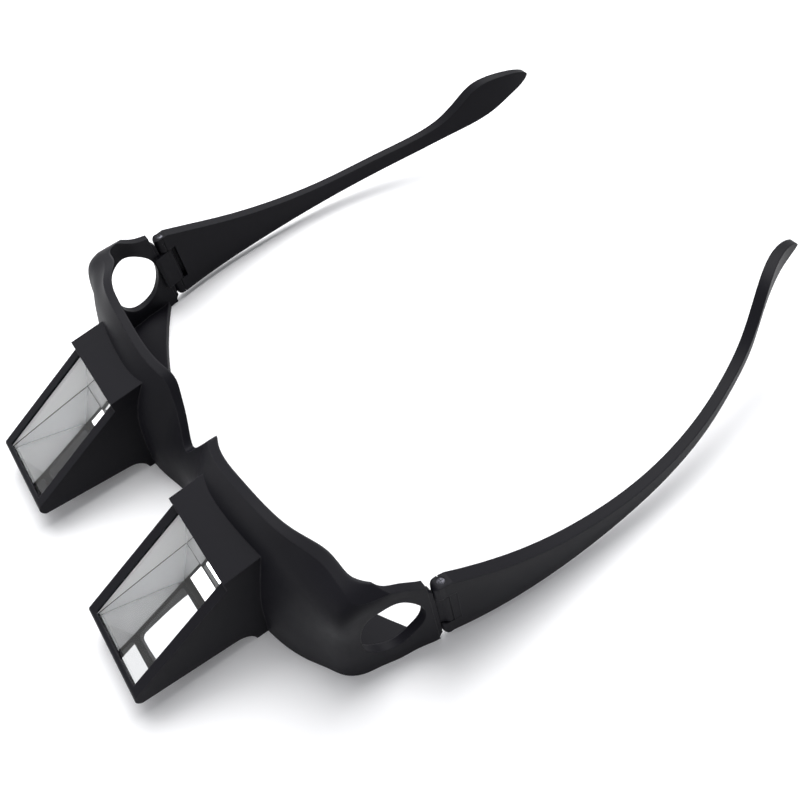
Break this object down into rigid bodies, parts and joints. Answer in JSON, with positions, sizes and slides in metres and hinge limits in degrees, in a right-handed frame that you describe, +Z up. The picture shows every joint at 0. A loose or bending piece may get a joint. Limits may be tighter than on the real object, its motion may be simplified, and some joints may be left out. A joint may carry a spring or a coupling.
{
  "type": "prism glasses",
  "caption": "Black moulded glasses with a boxed prism in front of each eye, side windows and hinged temples, for reading while lying flat.",
  "frame": {"origin": "on the table, at the middle of the bounding box", "axes": "as it lies on its brow edge: +Z up, which is the wearer's down, +Y back along the temples, +X across"},
  "size_m": [0.1524, 0.1918, 0.0384],
  "materials": {
    "black_plastic": "satin black moulded plastic",
    "prism_glass": "clear polished optical plastic",
    "silvering": "silvered plate",
    "screw_steel": "dark plated steel"
  },
  "bodies": {
    "frame": {"front_frame": "black_plastic", "right_prism": "prism_glass", "left_prism": "prism_glass", "right_mirror": "silvering", "left_mirror": "silvering", "right_housing_cover": "black_plastic", "left_housing_cover": "black_plastic"},
    "right_arm": {"right_temple": "black_plastic", "right_hinge_screw": "screw_steel"},
    "left_arm": {"left_temple": "black_plastic", "left_hinge_screw": "screw_steel"}
  },
  "joints": [
    {"name": "right_temple_fold", "type": "hinge", "parent": "frame", "child": "right_arm", "pos_m": [0.0711, -0.02885, 0.013], "axis": [0, 0, 1], "range_deg": [0, 90]},
    {"name": "left_temple_fold", "type": "hinge", "parent": "frame", "child": "left_arm", "pos_m": [-0.0711, -0.02885, 0.013], "axis": [0, 0, -1], "range_deg": [0, 80]}
  ]
}
